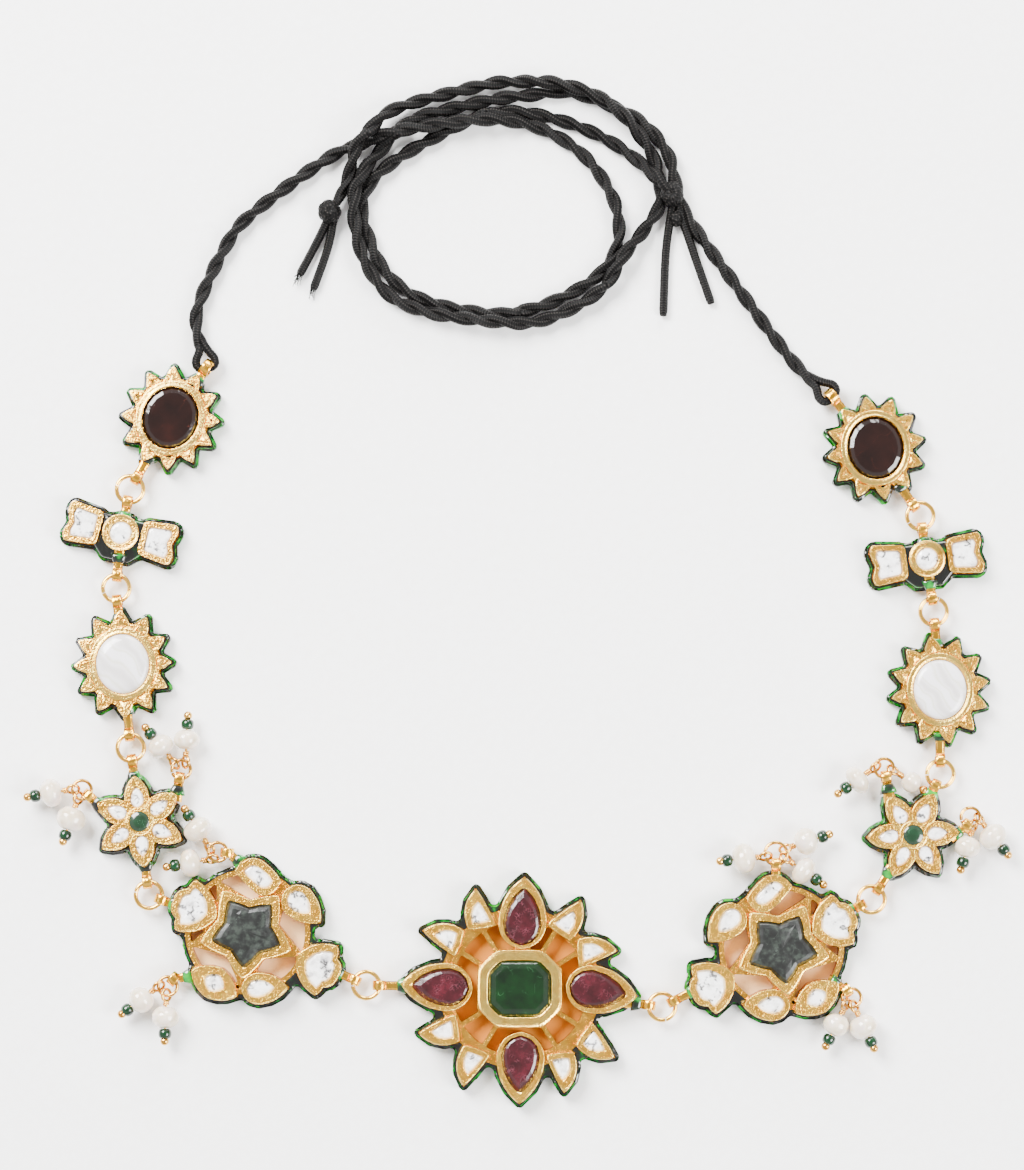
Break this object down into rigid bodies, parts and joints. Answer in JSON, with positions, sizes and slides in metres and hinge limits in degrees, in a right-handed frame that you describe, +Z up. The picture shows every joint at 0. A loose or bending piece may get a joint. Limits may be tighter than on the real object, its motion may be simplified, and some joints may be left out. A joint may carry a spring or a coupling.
{
  "type": "kundan necklace",
  "caption": "Necklace of soldered, stone-set and enamelled stations joined by jump rings, with pearl drops and a knotted twisted cord, laid flat in a loop.",
  "frame": {"origin": "middle of the centre medallion's flat back, on the surface that the necklace lies on", "axes": "+Z up from the surface, +Y from the medallion towards the cord, +X to the right in the plan view from above"},
  "size_m": [0.1777, 0.1853, 0.0055],
  "materials": {
    "gold": "polished gold plate",
    "enamel": "glossy dark green enamel",
    "emerald": "polished",
    "ruby": "polished",
    "polki": "polished",
    "star_stone": "polished",
    "flower_green": "polished",
    "shell": "pearly",
    "garnet": "polished",
    "pearl": "pearly",
    "cord": "twisted cotton"
  },
  "bodies": {
    "root": {"medallion_frame": "gold", "medallion_enamel": "enamel", "medallion_emerald": "emerald", "medallion_rubies": "ruby", "medallion_polki": "polki", "star_frame_left": "gold", "star_enamel_left": "enamel", "star_stone_left": "star_stone", "star_polki_left": "polki", "star_frame_right": "gold", "star_enamel_right": "enamel", "star_stone_right": "star_stone", "star_polki_right": "polki", "flower_frame_left": "gold", "flower_enamel_left": "enamel", "flower_centre_left": "flower_green", "flower_polki_left": "polki", "flower_frame_right": "gold", "flower_enamel_right": "enamel", "flower_centre_right": "flower_green", "flower_polki_right": "polki", "pearl_sun_frame_left": "gold", "pearl_sun_enamel_left": "enamel", "pearl_cabochon_left": "shell", "pearl_sun_frame_right": "gold", "pearl_sun_enamel_right": "enamel", "pearl_cabochon_right": "shell", "bow_frame_left": "gold", "bow_enamel_left": "enamel", "bow_polki_left": "polki", "bow_frame_right": "gold", "bow_enamel_right": "enamel", "bow_polki_right": "polki", "garnet_sun_frame_left": "gold", "garnet_sun_enamel_left": "enamel", "garnet_left": "garnet", "garnet_sun_frame_right": "gold", "garnet_sun_enamel_right": "enamel", "garnet_right": "garnet", "link_ring_left_1": "gold", "link_ring_left_2": "gold", "link_ring_left_3": "gold", "link_ring_left_4": "gold", "link_ring_left_5": "gold", "link_ring_right_1": "gold", "link_ring_right_2": "gold", "link_ring_right_3": "gold", "link_ring_right_4": "gold", "link_ring_right_5": "gold", "flower_pearls_left": "pearl", "flower_pearls_right": "pearl", "star_pearls_left": "pearl", "star_pearls_right": "pearl", "drop_pins_left": "gold", "drop_pins_right": "gold", "cord_left": "cord", "cord_right": "cord", "knot_left": "cord", "knot_right": "cord"}
  },
  "joints": []
}
